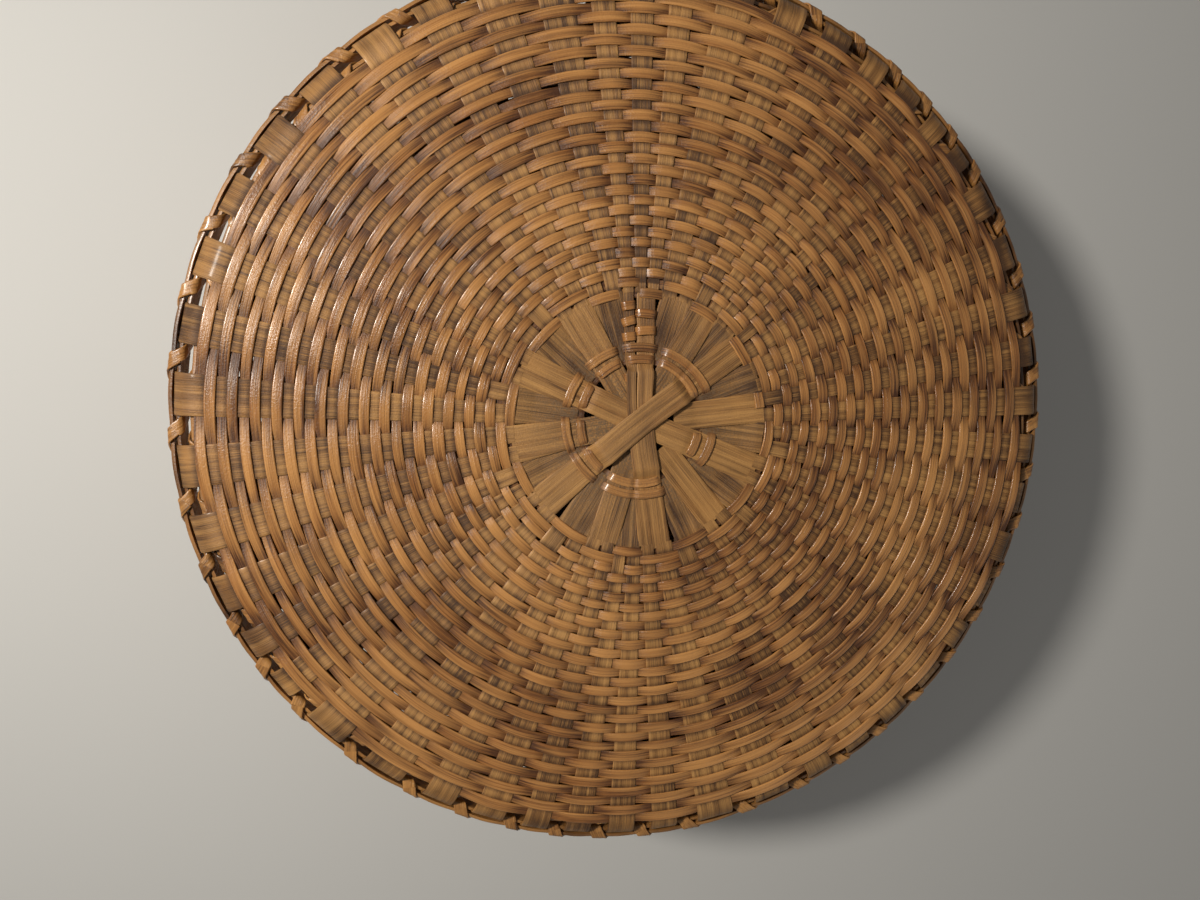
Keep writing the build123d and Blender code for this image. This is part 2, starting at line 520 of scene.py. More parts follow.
def rounded(corners: Sequence[tuple[float, float]], bend: float) -> Array:
    """Line through corners, each one rounded by a curve that starts a bend's length before it."""
    points = [np.array(corners[0])]
    for near in zip(corners, corners[1:], corners[2:]):
        before, corner, after = map(np.array, near)
        into, out = corner - before, after - corner
        reach = min(bend, np.linalg.norm(into) / 2, np.linalg.norm(out) / 2)
        start = corner - into / np.linalg.norm(into) * reach
        stop = corner + out / np.linalg.norm(out) * reach
        for share in np.linspace(0, 1, CORNER_SAMPLES):
            rest = 1 - share
            points.append(rest**2 * start + 2 * share * rest * corner + share**2 * stop)
    points.append(np.array(corners[-1]))
    return np.array(points)


def read_table(table: Array, where: Array) -> list[Array]:
    """A table's columns after the first, read at values of the first."""
    return [np.interp(where, table[:, 0], column) for column in table.T[1:]]


@dataclass
class LoopSurface:
    """A rounded box section swept round the axis, which a lashing lies on."""

    inner: float
    outer: float
    low: float
    high: float
    from_top: bool
    bend: float = 1.2 * MM
    table: Array = field(init=False)

    def __post_init__(self) -> None:
        """Sample the section from the middle of its top or bottom, outer side first."""
        middle = (self.inner + self.outer) / 2
        near, far = (self.high, self.low) if self.from_top else (self.low, self.high)
        corners = [(middle, near), (self.outer, near), (self.outer, far)]
        corners += [(self.inner, far), (self.inner, near), (middle, near)]
        line = rounded(corners, self.bend)
        run = distances(line)
        even = np.linspace(0, run[-1], LOOP_SAMPLES)
        loop = np.stack([np.interp(even, run, line[:, axis]) for axis in (0, 1)], axis=-1)
        ahead = np.gradient(loop, axis=0)
        ahead[0] = ahead[-1] = ahead[0] + ahead[-1]
        ahead = unit(ahead)
        way = -1 if self.from_top else 1
        facing = way * np.stack([ahead[:, 1], -ahead[:, 0]], axis=-1)
        self.table = np.column_stack([even, loop, facing])

    @property
    def length(self) -> float:
        """Distance once round the section."""
        return float(self.table[-1, 0])

    def place(self, round_it: Array, along: Array, high: Array) -> Array:
        """Points on the surface.

        Args:
            round_it: distances round the section.
            along: distances along the rim, at its outer radius.
            high: distances off the surface.

        Returns:
            The points.
        """
        radius, height, out_r, out_z = read_table(self.table, np.mod(round_it, self.length))
        angle = along / self.outer
        radius, height = radius + out_r * high, height + out_z * high
        return np.stack([radius * np.cos(angle), radius * np.sin(angle), height], axis=-1)


@dataclass
class Profile:
    """The line that a woven wall follows from the centre out, and which side is its outside."""

    corners: Sequence[tuple[float, float]]
    bend: float
    side: Side
    step: float = 0.25 * MM
    table: Array = field(init=False)

    def __post_init__(self) -> None:
        """Sample the line, rounding each corner."""
        line = rounded(self.corners, self.bend)
        run = distances(line)
        even = np.arange(0, run[-1], self.step)
        radius, height = (np.interp(even, run, line[:, axis]) for axis in (0, 1))
        ahead = unit(np.stack([np.gradient(radius), np.gradient(height)], axis=-1))
        facing = self.side.value * np.stack([-ahead[:, 1], ahead[:, 0]], axis=-1)
        self.table = np.column_stack([even, radius, height, facing])

    @property
    def length(self) -> float:
        """Length of the line from the centre to its end."""
        return float(self.table[-1, 0])

    def radius(self, run: Array) -> Array:
        """Radius at distances along the line."""
        return np.interp(run, self.table[:, 0], self.table[:, 1])

    def place(self, run: Array, angle: Array, lift: Array) -> tuple[Array, Array]:
        """Points on the wall, lifted off it, and the direction that is outside there.

        Args:
            run: distances along the line.
            angle: angles round the axis.
            lift: distances towards the outside.

        Returns:
            The points and the outward directions.
        """
        radius, height, out_r, out_z = read_table(self.table, run)
        east, north = np.cos(angle), np.sin(angle)
        outside = np.stack([out_r * east, out_r * north, out_z], axis=-1)
        ground = np.stack([radius * east, radius * north, height], axis=-1)
        return ground + outside * lift[:, None], outside


@dataclass(frozen=True)
class Crossing:
    """Where the weaver meets a rib or a tongue."""

    turn: float
    run: float
    spoke: int
    over: int


@dataclass
class Spokes:
    """The ribs' directions, in degrees, and the tongues that they are slit into."""

    ribs: Sequence[float]
    split_at: float = 90.0
    split_pieces: Pair = (-3.0, 4.2)

    def wide(self) -> list[tuple[float, int]]:
        """Directions that the first rounds count as one rib each, and their rib numbers."""
        found = []
        for number, angle in enumerate(self.ribs):
            turns = self.split_pieces if angle == self.split_at else (0.0,)
            found += [(angle + turn, number) for turn in turns]
        return found

    def tongues(self) -> list[tuple[float, int, float]]:
        """Direction, rib number and share of the angle of every tongue, going round."""
        found = []
        total = len(self.ribs)
        for number, angle in enumerate(self.ribs):
            before = (angle - self.ribs[number - 1]) % 360
            after = (self.ribs[(number + 1) % total] - angle) % 360
            if angle == self.split_at:
                third = (before + after) / 6
                found += [(angle + turn * third, number, third) for turn in (-1, 0, 1)]
            else:
                found.append((angle - before / 4, number, before / 2))
                found.append((angle + after / 4, number, after / 2))
        return found

    def gaps(self) -> list[float]:
        """Directions of the middles of the gaps between the tongues, going round."""
        marks = sorted(self.tongues())
        found = []
        for number, (angle, _, share) in enumerate(marks):
            after, _, after_share = marks[(number + 1) % len(marks)]
            after += 360 if number + 1 == len(marks) else 0
            edges = angle + share * EDGE_COVER / 2 + after - after_share * EDGE_COVER / 2
            found.append(edges / 2)
        return found


@dataclass(frozen=True)
class Grime:
    """Settled dirt: strongest round the crossing at the centre."""

    reach: float
    base: float
    centre: float = 1.0

    def at(self, radius: Array) -> Array:
        """Dirt at distances from the axis."""
        return self.base + (self.centre - self.base) * np.exp(-((radius / self.reach) ** 2))


@dataclass
class Weave:
    """A plain weave: one long weaver over and under the ribs, round after round.

    The spreads are of random draws: of the height of each crossing, of its shift in or out in
    rows, and of the tone from crossing to crossing and from quarter to quarter of a round.
    """

    profile: Profile
    spokes: Spokes
    first_run: float
    last_run: float
    pitch: float
    weaver_width: float
    seed: int
    wide_rounds: int = 2
    weaver_thickness: float = 0.58 * MM
    weaver_lift: float = 0.7 * MM
    weaver_cup: float = 0.05 * MM
    over_swell: float = 0.035
    rib_thickness: float = 0.7 * MM
    rib_lift: float = 0.08 * MM
    samples: int = 8
    wave_power: float = 0.85
    sway: Pair = (17.0, 0.05)
    swell: Pair = (41.0, 0.06)
    height_spread: float = 0.05
    shift_spread: float = 0.022
    tone_spread: float = 0.32
    quarter_spread: float = 0.26
    crossings: list[Crossing] = field(default_factory=list)

    def __post_init__(self) -> None:
        """List every crossing of the weaver."""
        self.random = np.random.default_rng(self.seed)
        rounds = int((self.last_run - self.first_run) / self.pitch)
        wide = self.spokes.wide()
        tongues = self.spokes.tongues()
        over = 1
        for number in range(rounds):
            directions = wide if number < self.wide_rounds else tongues
            for spoke, (angle, *_) in enumerate(directions):
                turn = number * 360.0 + angle
                run = self.first_run + self.pitch * turn / 360
                self.crossings.append(Crossing(turn, run, spoke, over))
                over = -over

    def weaver(self, mesh: StripMesh, dirt: Grime) -> None:
        """Add the weaver to a mesh.

        Args:
            mesh: the mesh to add to.
            dirt: how dirty the weaver is by radius.
        """
        marks = self.crossings
        turns = np.array([mark.turn for mark in marks])
        signs = np.array([mark.over for mark in marks], dtype=float)
        share = np.arange(self.samples) / self.samples
        turn = (turns[:-1, None] + np.diff(turns)[:, None] * share[None, :]).ravel()
        wave = np.cos(pi * share)
        wave = np.sign(wave) * np.abs(wave) ** self.wave_power
        lift = (signs[:-1, None] * wave[None, :]).ravel()
        sway = self._drift(turn, *self.sway)
        swell = self._drift(turn, *self.swell)
        heights, shifts, tones = (
            np.interp(turn, turns, self.random.normal(0, spread, len(marks)))
            for spread in (self.height_spread, self.shift_spread, self.tone_spread)
        )
        run = self.first_run + self.pitch * (turn / 360 + sway + shifts)
        height = self.weaver_lift * lift * (1 + heights)
        path, outside = self.profile.place(run, np.radians(turn), height)
        mesh.add(Strip(
            path, outside, width=self.weaver_width * (1 + swell + self.over_swell * lift),
            thickness=self.weaver_thickness, lift=lift,
            tone=tones + self._drift(turn, 90, self.quarter_spread),
            dirt=dirt.at(self.profile.radius(run)), cup=self.weaver_cup, seed=self.seed
        ))

    def _drift(self, turn: Array, spacing: float, size: float) -> Array:
        """Slow random drift along the weaver."""
        knots = self.random.normal(0, size, int(turn[-1] / spacing) + 3)
        return np.interp(turn / spacing, np.arange(len(knots)), knots)

    def rib_sway(self, spoke: int, rib: int, run: Array) -> Array:
        """How far a tongue is pushed in or out by the weaver, at distances along it."""
        wide = self.spokes.wide()
        wide_stop = self.first_run + self.pitch * self.wide_rounds
        met = []
        for mark in self.crossings:
            if mark.run < wide_stop and mark.spoke < len(wide):
                meets = wide[mark.spoke][1] == rib
            else:
                meets = mark.spoke == spoke
            if meets:
                met.append((mark.run, -mark.over))
        runs, pushes = np.array(sorted(met)).T
        return np.interp(run, runs, pushes)


@dataclass
class RibEnd:
    """One end of a rib: its number and direction, where its strip starts, and its level.

    The level is the rib's place in the stack at the centre. Below 0 it is laid in under the rest.
    """

    number: int
    angle: float
    level: float
    tip: float = 0.0
    tip_width: float = 0.0


@dataclass(frozen=True)
class Piece:
    """One part of a rib slit from the centre on: offsets to the left, widths, and its wraps."""

    start_offset: float
    stop_offset: float
    start_width: float
    stop_width: float
    tone: float
    wraps: tuple[float, ...]

    def offset(self, share: Array | float) -> Array | float:
        """Offset to the left at a share of the way from the centre to the weave."""
        return self.start_offset + (self.stop_offset - self.start_offset) * share

    def width(self, share: Array | float) -> Array | float:
        """Width at a share of the way."""
        return self.start_width + (self.stop_width - self.start_width) * share


@dataclass
class RibSet:
    """The ribs of one half of the basket, from the crossed centre to the hoops.

    A rib is an uncut strip up to the slit radius and tongues from there on. Pairs of tones hold
    their middle and spread. The dust is that of ribs above level 0, at it and below it.
    """

    weave: Weave
    end_run: float
    dirt: Grime
    layer: float
    centre_width: float = 9.2 * MM
    slit_width: float = 11.0 * MM
    slit_radius: float = 46.5 * MM
    flare_radius: float = 27.0 * MM
    hub_reach: float = 17.4 * MM
    hub_slope: float = 4.0 * MM
    laid_under: float = 0.7 * MM
    laid_tone: float = -0.45
    laid_inset: float = 1.5 * MM
    laid_slope: float = 6.0 * MM
    slit_cover: float = 0.3
    cover_fade: float = 55.0 * MM
    taper: float = 7.0 * MM
    slit_overlap: float = 1.2 * MM
    centre_overlap: float = 0.5 * MM
    tongue_overlap: float = 0.6 * MM
    step: float = 0.8 * MM
    tongue_step: float = 0.9 * MM
    uncut_lift: float = 0.1
    uncut_tone: Pair = (0.3, 0.35)
    tongue_tone: Pair = (0.1, 0.24)
    tongue_patches: tuple[int, float] = (40, 0.25)
    # The tongue's lift, a base and a swing with the weaver's push, paints a shadow on the rib
    # beside each float; it also sets the polish.
    tongue_lift_and_shade: Pair = (-0.9, 1.3)
    rim_lift: float = -0.15
    dust: tuple[float, float, float] = (0.2, 1.2, 2.0)

    def uncut(self, end: RibEnd, partner: RibEnd | None = None) -> Strip:
        """The uncut strip of a rib, alone or right across to its partner's end."""
        stop = self.slit_radius + self.slit_overlap
        if partner is None:
            from_centre = np.arange(end.tip, stop, self.step)
            spot = from_centre[:, None] * self._heading(end)
            widening = (self.slit_width - end.tip_width) / self.taper
            cut = end.tip_width + (from_centre - end.tip) * widening
            width = np.minimum(self._width(from_centre, end), cut)
        else:
            distance = np.arange(-stop, stop, self.step)
            one, two = self._heading(end), self._heading(partner)
            straight = (one - two) / np.linalg.norm(one - two)
            inner = np.clip(1 - np.abs(distance) / self.hub_reach, 0, 1)[:, None]
            heading = np.where(distance[:, None] > 0, one, -two)
            spot = distance[:, None] * (heading * (1 - inner) + straight * inner)
            from_centre = np.abs(distance)
            ends = self._width(from_centre, end), self._width(from_centre, partner)
            width = np.where(distance > 0, *ends)
        run = np.hypot(spot[:, 0], spot[:, 1])
        angle = np.arctan2(spot[:, 1], spot[:, 0])
        path, outside = self.weave.profile.place(run, angle, self._rise(from_centre, end.level))
        middle, spread = self.uncut_tone
        middle = middle if end.level >= 0 else self.laid_tone
        tone = np.random.default_rng(UNCUT_SEED + end.number).normal(0, spread) + middle
        dust = self.dust[1 - int(np.sign(end.level))]
        return Strip(
            path,
            outside,
            width,
            self.weave.rib_thickness,
            lift=np.full_like(run, self.uncut_lift),
            tone=np.full_like(run, tone),
            dirt=self.dirt.at(run) * dust,
            seed=end.number + 3,
        )

    def split(self, end: RibEnd, partner: RibEnd, pieces: Sequence[Piece]) -> list[Strip]:
        """The strips of a rib that runs right across and has one end slit from the centre on.

        Args:
            end: the slit end.
            partner: the whole end.
            pieces: what the slit end is cut into.

        Returns:
            The whole end and the pieces.
        """
        uncut = self.uncut(end, partner)
        distance = np.arange(len(uncut.path)) * self.step - (self.slit_radius + self.slit_overlap)
        left = np.cross(uncut.outside, unit(np.gradient(uncut.path, axis=0)))
        strips = [uncut.part(distance < self.centre_overlap)]
        keep = distance > -self.centre_overlap
        share = np.clip(distance / self.slit_radius, 0, 1)[keep]
        for piece in pieces:
            part = uncut.part(keep)
            part.path = part.path + left[keep] * piece.offset(share)[:, None]
            part.width = piece.width(share)
            part.tone = part.tone + piece.tone
            strips.append(part)
        return strips

    def tongues(self, mesh: StripMesh, number: int) -> None:
        """Add the tongues that a rib's end is slit into."""
        weave = self.weave
        run = np.arange(self.slit_radius - self.tongue_overlap, self.end_run, self.tongue_step)
        radius = weave.profile.radius(run)
        past = np.clip((run - weave.last_run) / weave.pitch + 0.6, 0, 1)
        fade = np.exp(-(radius - self.slit_radius) / self.cover_fade)
        middle, spread = self.tongue_tone
        patches, patch_spread = self.tongue_patches
        base, swing = self.tongue_lift_and_shade
        for spoke, (angle, rib, share) in enumerate(weave.spokes.tongues()):
            if rib != number:
                continue
            sway = weave.rib_sway(spoke, rib, run)
            turn = np.full_like(run, radians(angle))
            path, outside = weave.profile.place(run, turn, sway * weave.rib_lift)
            random = np.random.default_rng(TONGUE_SEED + spoke)
            tone = random.normal(middle, spread)
            knots = random.normal(0, patch_spread, patches)
            mesh.add(Strip(
                path, outside,
                width=radius * radians(share) * (EDGE_COVER + self.slit_cover * fade),
                thickness=weave.rib_thickness,
                # painted shadow: the tongue is darker where the edges of the weaver's floats meet
                # it
                lift=(base + sway * swing) * (1 - past) + self.rim_lift * past,
                tone=tone + np.interp(run, np.linspace(0, run[-1], patches), knots),
                dirt=self.dirt.at(radius), seed=spoke + 40
            ))

    def _heading(self, end: RibEnd) -> Array:
        """Unit vector of a rib end's direction."""
        return np.array([cos(radians(end.angle)), sin(radians(end.angle))])

    def _rise(self, from_centre: Array, level: float) -> Array:
        """Height off the wall: up over the ribs below, or down under them."""
        if level < 0:
            inside = self.slit_radius - self.laid_inset - from_centre
            return -self.laid_under * np.clip(inside / self.laid_slope, 0, 1)
        rise = np.clip((self.hub_reach + self.hub_slope - from_centre) / self.hub_slope, 0, 1)
        return rise * rise * (3 - 2 * rise) * self.layer * level

    def _width(self, radius: Array, end: RibEnd) -> Array:
        """Width of the uncut strip, which flares until it fills its share of the circle."""
        share = sum(share for _, rib, share in self.weave.spokes.tongues() if rib == end.number)
        filled = max(self.slit_width, radians(share) * self.slit_radius)
        near = self.centre_width + (self.slit_width - self.centre_width) * radius / self.slit_radius
        flare = (radius - self.flare_radius) / (self.slit_radius - self.flare_radius)
        return near + (filled - self.slit_width) * np.clip(flare, 0, 1)


@dataclass(frozen=True)
class Seat:
    """Where a half's hoops sit: their levels, and the radius inside each hoop."""

    low: float
    high: float
    outer: float
    inner: float

    @property
    def height(self) -> float:
        """Height of the hoops."""
        return self.high - self.low

    @classmethod
    def of(cls, prefix: str) -> "Seat":
        """Read the seat from the frame's hoops."""
        low, high = node_z(f"{prefix}_outer_hoop")
        outer, inner = (node_radius(f"{prefix}_{way}_hoop") for way in ("outer", "inner"))
        return cls(low, high, outer - HOOP_THICKNESS, inner - HOOP_THICKNESS)


@dataclass
class Rim:
    """Two hoops that clasp the rib ends, and the splint that lashes them."""

    body: Body
    prefix: str
    spokes: Spokes
    seat: Seat
    crossing_high: bool
    seed: int
    inset: float = 0.55 * MM
    hoop_trim: float = 0.2 * MM
    edge_trim: float = 0.6 * MM
    hoop_steps: int = 720
    hoop_waves: tuple[int, ...] = (5, 9, 16, 24)
    wave_size: float = 0.09
    dip: float = 0.6 * MM
    width_wave: float = 0.2
    swell: float = 0.35 * MM
    hoop_patches: tuple[int, float] = (30, 0.25)
    hoop_tone: float = 0.2
    hoop_lift: float = 0.2
    hoop_dirt: float = 0.12
    lash_width: float = 4.6 * MM
    lash_widths: Pair = (0.88, 1.1)
    lash_tone: Pair = (0.25, 0.45)
    lash_lift: float = 0.5
    lash_dirt: float = 0.1
    lash_bulge: float = 0.65 * MM
    lash_thickness: float = 0.6 * MM
    lash_gap: float = 0.05 * MM
    lash_cup: float = 0.05 * MM
    lash_steps: int = 60
    lash_slide: float = 0.035

    def build(self) -> None:
        """Make the hoops and their lashing."""
        self.thickness = HOOP_THICKNESS - self.inset
        self._hoop("outer", self.seat.outer, self.swell)
        self._hoop("inner", self.seat.inner + self.inset, 0.0)
        self._lashing()

    def _hoop(self, way: str, radius: float, swell: float) -> None:
        """Make a hoop of one thick splint that stands on edge."""
        mesh = StripMesh()
        random = np.random.default_rng(self.seed + int(radius / MM))
        angle = np.arange(self.hoop_steps) / self.hoop_steps * TURN
        wave = sum(
            random.normal(0, self.wave_size) * np.sin(angle * count + random.uniform(0, TURN))
            for count in self.hoop_waves
        )
        pinned = np.radians(self.spokes.gaps())
        pinned = np.concatenate([pinned, [pinned[0] + TURN]])
        within = (angle - pinned[0]) % TURN + pinned[0]
        within = np.interp(within, pinned, np.arange(len(pinned)))
        middle = radius + self.thickness / 2 + swell * np.sin(pi * (within % 1)) ** 2
        level = self.seat.low + self.seat.height / 2 + wave * self.dip
        patches, spread = self.hoop_patches
        knots = random.normal(0, spread, patches)
        plain = np.ones(self.hoop_steps)
        mesh.add(Strip(
            np.stack([middle * np.cos(angle), middle * np.sin(angle), level], axis=-1),
            np.stack([np.cos(angle), np.sin(angle), 0 * angle], axis=-1),
            width=(self.seat.height - self.edge_trim) * (1 + self.width_wave * wave),
            thickness=self.thickness - self.hoop_trim, lift=plain * self.hoop_lift,
            tone=self.hoop_tone + np.interp(angle, np.linspace(0, TURN, patches), knots),
            dirt=plain * self.hoop_dirt, closed=True, seed=self.seed
        ))
        mesh.build(f"{self.prefix}_rim_hoop_{way}", HOOP, self.body, [f"{self.prefix}_{way}_hoop"])

    def _lashing(self) -> None:
        """Make the splint that spirals round both hoops, passing between the ribs."""
        mesh = StripMesh()
        seat = self.seat
        gap = self.lash_gap + self.lash_thickness / 2
        surface = LoopSurface(
            inner=seat.inner - gap,
            outer=seat.outer + self.thickness + gap,
            low=seat.low - gap,
            high=seat.high + gap,
            from_top=self.crossing_high,
        )
        random = np.random.default_rng(self.seed + LASHING_SEED)
        gaps = self.spokes.gaps()
        share = np.linspace(0, 1, self.lash_steps)
        slide = share - self.lash_slide * np.sin(share * TURN)
        face = (surface.outer - surface.inner) / 2
        on_face = (share * surface.length - face) / (surface.high - surface.low)
        bulge = self.lash_bulge * np.sin(pi * np.clip(on_face, 0, 1)) ** 2
        plain = np.ones(self.lash_steps)
        for number, (start, stop) in enumerate(zip(gaps, gaps[1:] + [gaps[0] + 360])):
            along = np.radians(start + (stop - start) * slide) * surface.outer
            path = np.stack([share * surface.length, along], axis=-1)
            turn = Strip(
                path,
                outside=path,
                width=plain * self.lash_width * random.uniform(*self.lash_widths),
                thickness=self.lash_thickness,
                lift=plain * self.lash_lift,
                tone=plain * random.normal(*self.lash_tone),
                dirt=plain * self.lash_dirt,
                cup=self.lash_cup,
                seed=number,
            )
            mesh.wrap(turn, surface, bulge)
        mesh.build(f"{self.prefix}_rim_lashing", LASHING, self.body, [f"{self.prefix}_lashing"])


@dataclass
class Binding:
    """The two rounds that bind the crossing: over the upper ribs and down between them.

    The fall and the rise are at how many degrees from a rib they start, and over how many more.
    """

    profile: Profile
    valley: float
    seed: int
    width: float
    runs: Pair = (22.4 * MM, 27.2 * MM)
    thickness: float = 0.55 * MM
    cup: float = 0.06 * MM
    height: float = 0.9 * MM
    drift: float = 0.35 * MM
    dirt: float = 0.35
    tone: Pair = (0.2, 0.3)
    fall: Pair = (9.5, 5.0)
    rise: Pair = (8.0, 7.0)
    rise_height: float = 1.2
    steps: int = 480
    blur: int = 13

    def lay(self, mesh: StripMesh, over: Iterable[float], under: Iterable[float]) -> None:
        """Add the rounds.

        Args:
            mesh: the mesh to add to.
            over: directions of the ribs that the rounds pass over.
            under: directions of the ribs that they pass under.
        """
        turn = np.linspace(0, 360, self.steps + 1)[:-1]
        lift = np.full_like(turn, self.valley)
        for angle in over:
            fall = np.clip(self._past(turn, angle, *self.fall), 0, 1)
            lift = np.maximum(lift, 1 - (1 - self.valley) * fall)
        for angle in under:
            rise = np.clip(self._past(turn, angle, *self.rise), 0, 2)
            lift = np.minimum(lift, -1 + self.rise_height * rise)
        blur = np.hanning(self.blur) / np.hanning(self.blur).sum()
        ends = self.blur // 2
        lift = np.convolve(np.concatenate([lift[-ends:], lift, lift[:ends]]), blur, "valid")
        angle = np.radians(turn)
        plain = np.ones(self.steps)
        for number, run in enumerate(self.runs):
            start = np.random.default_rng(self.seed + number).uniform(0, TURN)
            where = run + self.drift * np.sin(angle * 2 + start)
            path, outside = self.profile.place(where, angle, lift * self.height)
            middle, swing = self.tone
            mesh.add(Strip(
                path, outside, width=plain * self.width, thickness=self.thickness, lift=lift,
                tone=middle + swing * np.sin(angle * 3), dirt=plain * self.dirt, closed=True,
                cup=self.cup, seed=number + 11
            ))

    def _past(self, turn: Array, angle: float, start: float, slope: float) -> Array:
        """How far directions are through a slope that starts some degrees from an angle."""
        return (np.abs((turn - angle + 180) % 360 - 180) - start) / slope


@dataclass
class Wraps:
    """The weaver's turns round the pieces of a rib that is slit from the centre on."""

    profile: Profile
    angle: float
    slit_radius: float
    width: float
    seed: int = 5
    steps: int = 25
    room: float = 0.7 * MM
    slant: float = 0.5
    thickness: float = 0.55 * MM
    cup: float = 0.06 * MM
    tone: Pair = (0.3, 0.3)
    dirt: float = 0.12

    def lay(self, mesh: StripMesh, pieces: Iterable[Piece]) -> None:
        """Add the turns.

        Args:
            mesh: the mesh to add to.
            pieces: the pieces, with the distances from the centre at which they are wrapped.
        """
        random = np.random.default_rng(self.seed)
        across = np.linspace(-1, 1, self.steps)
        plain = np.ones(self.steps)
        lift = 1.15 - 2.3 * np.abs(across) ** 5
        for piece, run in ((piece, run) for piece in pieces for run in piece.wraps):
            share = run / self.slit_radius
            reach = across * (piece.width(share) / 2 + self.room)
            angle = radians(self.angle) + (piece.offset(share) + reach) / run
            where = run + across * random.uniform(-self.slant, self.slant) * MM
            path, outside = self.profile.place(where, angle, lift * MM)
            mesh.add(Strip(
                path, outside, width=plain * self.width, thickness=self.thickness, lift=lift,
                tone=plain * random.normal(*self.tone), dirt=plain * self.dirt, cup=self.cup,
                seed=run * 900
            ))


@dataclass
class Half:
    """What the lid and the body share: their sizes, ribs, weave and rim."""

    body: Body
    prefix: str
    profile: Profile
    ribs: Sequence[float]
    seed: int
    seat: Seat
    last_run: float
    crossing_high: bool
    layer: float
    pitch: float = 3.6 * MM
    weaver_width: float = 3.4 * MM
    first_run: float = 45.4 * MM
    rib_trim: float = 0.3 * MM
    binding_share: float = 0.93
    rib_grime: Grime = Grime(26.0 * MM, 0.07)
    weaver_grime: Grime = Grime(26.0 * MM, 0.06, 0.6)

    def __post_init__(self) -> None:
        """Work out the weave and the rib set."""
        self.spokes = Spokes(self.ribs)
        self.weave = Weave(
            self.profile, self.spokes, self.first_run, self.last_run, self.pitch,
            self.weaver_width, self.seed,
        )
        end_run = self.profile.length - self.rib_trim
        self.rib_set = RibSet(self.weave, end_run, self.rib_grime, self.layer)

    def rib_end(self, number: int, level: float, *tip: float) -> RibEnd:
        """A rib's end in its direction; the tip is where a short rib starts and its width there."""
        return RibEnd(number, self.ribs[number], level, *tip)

    def rib(
        self, name: str, nodes: Sequence[str], strips: Iterable[Strip], numbers: Iterable[int]
    ) -> None:
        """Make a rib.

        Args:
            name: the piece's name.
            nodes: the CAD nodes it stands for.
            strips: its uncut strips.
            numbers: the ends that are slit into tongues.
        """
        mesh = StripMesh()
        for strip in strips:
            mesh.add(strip)
        for number in numbers:
            self.rib_set.tongues(mesh, number)
        mesh.build(name, RIB, self.body, nodes)

    def weaver(self, name: str, nodes: Sequence[str]) -> None:
        """Make the long weaver."""
        mesh = StripMesh()
        self.weave.weaver(mesh, self.weaver_grime)
        mesh.build(name, WEAVER, self.body, nodes)

    def binding(
        self, name: str, node: str, valley: float, over: Iterable[float], under: Iterable[float]
    ) -> None:
        """Make the rounds that bind the crossing."""
        mesh = StripMesh()
        width = self.weaver_width * self.binding_share
        Binding(self.profile, valley, self.seed, width).lay(mesh, over, under)
        mesh.build(name, WEAVER, self.body, [node])

    def rim(self) -> None:
        """Make the hoops and their lashing."""
        Rim(self.body, self.prefix, self.spokes, self.seat, self.crossing_high, self.seed).build()


def node_z(node: str) -> tuple[float, float]:
    """Lowest and highest level of a CAD node."""
    low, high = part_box(node)
    return float(low[2]), float(high[2])


def node_radius(node: str) -> float:
    """Largest radius of a round CAD node."""
    low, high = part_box(node)
    return float(high[0] - low[0]) / 2


